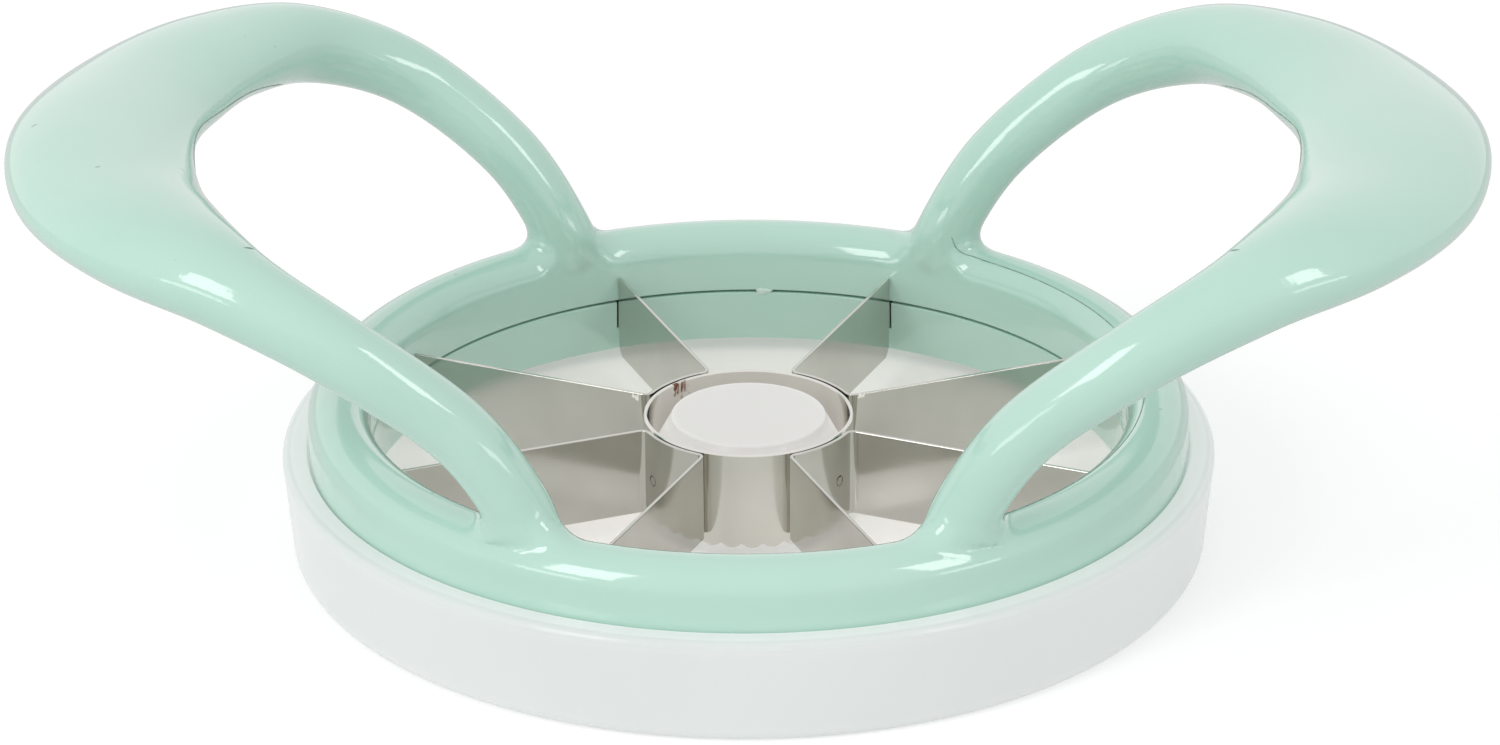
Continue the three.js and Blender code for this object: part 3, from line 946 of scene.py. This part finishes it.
def core_outline(turn):
    """Section of the core ring, which is lowest in the middle of each scallop."""
    inner = CORE_RADIUS - CORE_WALL
    lobe = abs(math.sin(turn * SCALLOPS / 2))
    bottom = CORE_BOTTOM + SCALLOP_DEPTH * (1 - lobe)
    return [
        (CORE_RADIUS - CORE_EDGE, bottom),
        (CORE_RADIUS, bottom + CORE_EDGE),
        (CORE_RADIUS, BLADE_TOP - CORE_EDGE),
        (CORE_RADIUS - CORE_EDGE, BLADE_TOP),
        (inner + CORE_EDGE, BLADE_TOP),
        (inner, BLADE_TOP - CORE_EDGE),
        (inner, bottom + CORE_EDGE),
        (inner + CORE_EDGE, bottom),
    ]


def build_core(steel):
    """The rolled core ring with its scalloped lower edge."""
    steps = SCALLOPS * SCALLOP_STEPS
    outlines = [core_outline(2 * math.pi * i / steps) for i in range(steps)]
    ring = lathe("core_ring_skin", outlines, sharp_degrees=35)
    even_normals(ring)
    return dress(ring, steel, "slicer", "blade_steel", "core_ring")


def strip_line(start, end):
    """Plan of a folded strip: in along one blade, round the core and out along the next."""
    hug = CORE_RADIUS + SEAT_GAP + BLADE_THICKNESS / 2
    bend = BEND_RADIUS + BLADE_THICKNESS / 2
    turn = bend / hug

    def polar(radius, angle):
        return np.array([radius * math.cos(angle), radius * math.sin(angle)])

    def fold(a, b, c):
        steps = np.linspace(0, 1, FOLD_STEPS + 1)
        return [a * (1 - t) ** 2 + 2 * b * t * (1 - t) + c * t * t for t in steps]

    line = [polar(TAB_END, start), polar(BLADE_END, start)]
    line += fold(polar(hug + bend, start), polar(hug, start), polar(hug, start + turn))
    line += [polar(hug, angle) for angle in np.linspace(start + turn, end - turn, HUG_STEPS + 1)[1:-1]]
    line += fold(polar(hug, end - turn), polar(hug, end), polar(hug + bend, end))
    line += [polar(BLADE_END, end), polar(TAB_END, end)]
    return np.array(line)


def prism(made, plan, low, high):
    """Adds an upright block with this plan."""
    bottom = [made.verts.new((x, y, low)) for x, y in plan]
    top = [made.verts.new((x, y, high)) for x, y in plan]
    made.faces.new(bottom[::-1])
    made.faces.new(top)
    for i in range(len(plan)):
        j = (i + 1) % len(plan)
        made.faces.new((bottom[i], bottom[j], top[j], top[i]))


def strip_meshes(start, end):
    """A strip without its tabs, and the two tabs."""
    line = strip_line(start, end)
    along = unit(np.gradient(line, axis=0))
    sideways = np.stack([-along[:, 1], along[:, 0]], axis=1) * BLADE_THICKNESS / 2
    left, right = line + sideways, line - sideways
    made = bmesh.new()
    prism(made, [*right[1:-1], *left[-2:0:-1]], BLADE_BOTTOM, BLADE_TOP)
    blade = mesh_of(made, "strip")
    made = bmesh.new()
    for a, b in ((0, 1), (-2, -1)):
        prism(made, [right[a], right[b], left[b], left[a]], RETAINER_TOP - TAB_HEIGHT, RETAINER_TOP)
    return blade, mesh_of(made, "tabs")


def chamfer_outer_corners(piece, angles):
    """Cuts the lower outer corner of both blades."""
    made = bmesh.new()
    made.from_mesh(piece.data)
    for angle in angles:
        outward = Vector((math.cos(angle), math.sin(angle), 0))
        corner = outward * (BLADE_END - BLADE_CHAMFER) + Vector((0, 0, BLADE_BOTTOM))
        normal = (outward - Vector((0, 0, 1))).normalized()
        near = [f for f in made.faces if max(v.co.dot(outward) for v in f.verts) > CORE_RADIUS]
        reach = list(dict.fromkeys(v for f in near for v in f.verts if v.co.dot(outward) > 0))
        edges = list(dict.fromkeys(e for v in reach for e in v.link_edges))
        cut = bmesh.ops.bisect_plane(
            made, geom=edges + reach + near, plane_co=corner, plane_no=normal, clear_outer=True,
        )
        loose = [e for e in cut["geom_cut"] if isinstance(e, bmesh.types.BMEdge)]
        bmesh.ops.holes_fill(made, edges=loose)
    made.to_mesh(piece.data)
    made.free()


def build_strips(steel):
    """Four folded strips, each with two blades."""
    angles = slot_angles()
    for i in range(4):
        ends = angles[2 * i:2 * i + 2]
        blade, tabs = strip_meshes(*ends)
        piece = put(f"blade_strip_skin_{i + 1}", blade)
        chamfer_outer_corners(piece, ends)
        bevel = piece.modifiers.new("edges", "BEVEL")
        bevel.width = STRIP_EDGE
        bevel.segments = 2
        bevel.limit_method = "ANGLE"
        bevel.angle_limit = math.radians(50)
        apply_modifiers(piece)
        made = bmesh.new()
        made.from_mesh(piece.data)
        made.from_mesh(tabs)
        bmesh.ops.recalc_face_normals(made, faces=made.faces)
        made.to_mesh(piece.data)
        made.free()
        shade(piece.data, 18)
        even_normals(piece)
        dress(piece, steel, "slicer", "blade_steel", f"blade_strip_{i + 1}")


# The tray

TRAY_FLOOR = 2 * MM
TRAY_TAPER = 0.8 * MM
TRAY_FOOT_ROUND = 2 * MM
RIM_INNER = RING_OUTER + 0.2 * MM
RIM_ROUND = 0.9 * MM
RIM_INNER_ROUND = 0.3 * MM
LEDGE_HEIGHT = SKIRT_BOTTOM - SEAT_GAP
LEDGE_RADIUS = RING_OUTER - 1 * MM
WELL_RADIUS = LEDGE_RADIUS - 0.4 * MM
WELL_ROUND = 1.5 * MM
HUB_RADIUS = CORE_RADIUS - CORE_WALL - 0.7 * MM
HUB_TOP = BLADE_TOP - 0.2 * MM
HUB_TOP_RADIUS = 9.4 * MM
HUB_TOP_ROUND = 0.35 * MM
HUB_FOOT_ROUND = 0.8 * MM
HUB_CONE = 4.2 * MM
HUB_WALL = 2.8 * MM
HOLLOW_CONE = 2 * MM


def build_tray(frost):
    """The tray and its hollow hub, turned from one section."""
    hollow = HUB_RADIUS - HUB_WALL
    hollow_top = HUB_TOP - HUB_WALL
    foot = TRAY_OUTER - TRAY_TAPER - TRAY_FOOT_ROUND
    inner = RIM_INNER + RIM_INNER_ROUND
    hub_foot = HUB_RADIUS + HUB_FOOT_ROUND
    hub_edge = HUB_TOP_RADIUS - HUB_TOP_ROUND
    outline = [
        (0, hollow_top),
        (hollow - HOLLOW_CONE, hollow_top),
        (hollow, hollow_top - HUB_CONE),
        (hollow, 0),
        *arc(foot, TRAY_FOOT_ROUND, TRAY_FOOT_ROUND, -90, 0, 10),
        *arc(TRAY_OUTER - RIM_ROUND, TRAY_RIM - RIM_ROUND, RIM_ROUND, 0, 90, 8),
        *arc(inner, TRAY_RIM - RIM_INNER_ROUND, RIM_INNER_ROUND, 90, 180, 6),
        (RIM_INNER, LEDGE_HEIGHT),
        (LEDGE_RADIUS, LEDGE_HEIGHT),
        *arc(WELL_RADIUS - WELL_ROUND, TRAY_FLOOR + WELL_ROUND, WELL_ROUND, 0, -90, 8),
        *arc(hub_foot, TRAY_FLOOR + HUB_FOOT_ROUND, HUB_FOOT_ROUND, 270, 180, 4),
        (HUB_RADIUS, HUB_TOP - HUB_CONE),
        *arc(hub_edge, HUB_TOP - HUB_TOP_ROUND, HUB_TOP_ROUND, 0, 90, 6),
        (0, HUB_TOP),
    ]
    tray = revolve("base_tray_skin", outline, closed=False)
    even_normals(tray)
    return dress(tray, frost, "tray", "frosted_tray", "base_tray")


# The set

FLOOR_HALF = 3.0
FLOOR_TONE = (0.8, 0.8, 0.8, 1)
FLOOR_GLOW = 0.335
WHITE = (1, 1, 1, 1)
# How bright the room is, how that leans along X, Y and Z, and how bright the gloss shows it
ROOM_LIGHT = 0.78
ROOM_LEAN = (-0.22, -0.02, 0.0)
ROOM_GLOSS = 1.0
# Name, azimuth, elevation, distance, width, height and radiance
SOFTBOXES = [
    ("front_left_box", -139, 30, 0.85, 0.25, 0.4, 4.1),
    ("front_left_low", -133, 6, 0.85, 0.26, 0.1, 2.2),
    ("front_right_box", 129, 31, 0.9, 0.17, 0.42, 4.1),
    ("front_right_low", 125, 3, 0.9, 0.26, 0.1, 2.2),
]
# The camera that fits the photo. It looks at the middle of the blades' top
PHOTO_WIDTH = 1500
PHOTO_HEIGHT = 745
AIM_PIXEL = (748.4, 412.0)
FOCAL_PIXELS = 4552
SENSOR_WIDTH = 36
CAMERA_DISTANCE = 0.55
CAMERA_ELEVATION = math.radians(24.46)
CAMERA_AZIMUTH = math.radians(1.08)
CAMERA_ROLL = math.radians(-0.29)


def build_floor():
    """A white floor that glows a little, but only where the camera sees it."""
    half = FLOOR_HALF
    mesh = bpy.data.meshes.new("floor")
    corners = [(-half, -half, 0), (half, -half, 0), (half, half, 0), (-half, half, 0)]
    mesh.from_pydata(corners, [], [(0, 1, 2, 3)])
    floor = put("floor", mesh)
    n = Nodes("pale_floor")
    diffuse = n.add("ShaderNodeBsdfDiffuse", {"Color": FLOOR_TONE})
    seen = n.add("ShaderNodeLightPath").outputs["Is Camera Ray"]
    glow = n.add("ShaderNodeEmission", {"Color": WHITE, "Strength": n.remap(seen, 0, 1, 0, FLOOR_GLOW)})
    both = n.add("ShaderNodeAddShader", {0: diffuse.outputs[0], 1: glow.outputs[0]})
    n.surface(both)
    floor.data.materials.append(n.material)


def build_world():
    """A nearly even studio, seen as white behind the object and in its gloss."""
    world = bpy.data.worlds.new("studio")
    bpy.context.scene.world = world
    world.use_nodes = True
    tree = world.node_tree
    background = tree.nodes["Background"]
    background.inputs["Color"].default_value = WHITE
    place = tree.nodes.new("ShaderNodeTexCoord").outputs["Generated"]
    lean = tree.nodes.new("ShaderNodeVectorMath")
    lean.operation = "DOT_PRODUCT"
    tree.links.new(place, lean.inputs[0])
    lean.inputs[1].default_value = ROOM_LEAN
    level = tree.nodes.new("ShaderNodeMath")
    tree.links.new(lean.outputs["Value"], level.inputs[0])
    level.inputs[1].default_value = ROOM_LIGHT
    strength = level.outputs[0]
    path = tree.nodes.new("ShaderNodeLightPath")
    for ray, seen in (("Is Glossy Ray", ROOM_GLOSS), ("Is Camera Ray", 1.0)):
        pick = tree.nodes.new("ShaderNodeMapRange")
        tree.links.new(path.outputs[ray], pick.inputs["Value"])
        tree.links.new(strength, pick.inputs["To Min"])
        pick.inputs["To Max"].default_value = seen
        strength = pick.outputs["Result"]
    tree.links.new(strength, background.inputs["Strength"])


def softbox(name, azimuth, elevation, distance, wide, tall, radiance):
    """A panel that faces the middle of the object. The azimuth is from +Y towards +X, in degrees."""
    turn, lift = math.radians(azimuth), math.radians(elevation)
    away = Vector((math.sin(turn) * math.cos(lift), math.cos(turn) * math.cos(lift), math.sin(lift)))
    light = bpy.data.lights.new(name, "AREA")
    light.shape = "RECTANGLE"
    light.size = wide
    light.size_y = tall
    light.energy = radiance * math.pi * wide * tall
    lamp = put(name, light)
    lamp.location = away * distance + Vector((0, 0, CROWN_TOP))
    lamp.rotation_euler = away.to_track_quat("Z", "Y").to_euler()


def build_camera():
    camera = bpy.data.cameras.new("camera")
    camera.sensor_width = SENSOR_WIDTH
    camera.lens = FOCAL_PIXELS / PHOTO_WIDTH * SENSOR_WIDTH
    camera.shift_x = (PHOTO_WIDTH / 2 - AIM_PIXEL[0]) / PHOTO_WIDTH
    camera.shift_y = (AIM_PIXEL[1] - PHOTO_HEIGHT / 2) / PHOTO_WIDTH
    view = put("camera", camera)
    turn = Matrix.Rotation(CAMERA_AZIMUTH, 3, "Z") @ Matrix.Rotation(math.pi / 2 - CAMERA_ELEVATION, 3, "X")
    view.location = turn @ Vector((0, 0, CAMERA_DISTANCE)) + Vector((0, 0, BLADE_TOP))
    view.rotation_euler = (turn @ Matrix.Rotation(CAMERA_ROLL, 3, "Z")).to_euler()
    bpy.context.scene.camera = view


bpy.context.scene.view_settings.view_transform = "Standard"
build_camera()
build_world()
for box in SOFTBOXES:
    softbox(*box)
build_floor()
mint = mint_material()
steel = steel_material("blade_steel", BLADE_STEEL, flecks=STRIP_FLECKS, welds=STRIP_WELDS)
core_steel = steel_material("core_steel", CORE_STEEL, burns=CORE_BURNS)
build_frame(mint)
build_seams()
build_gate_trace()
build_retainer(mint)
build_core(core_steel)
build_strips(steel)
build_tray(frost_material())
zinc = zinc_material()
for name in SCREWS:
    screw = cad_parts[name]
    screw.data.materials.clear()
    screw.data.materials.append(zinc)
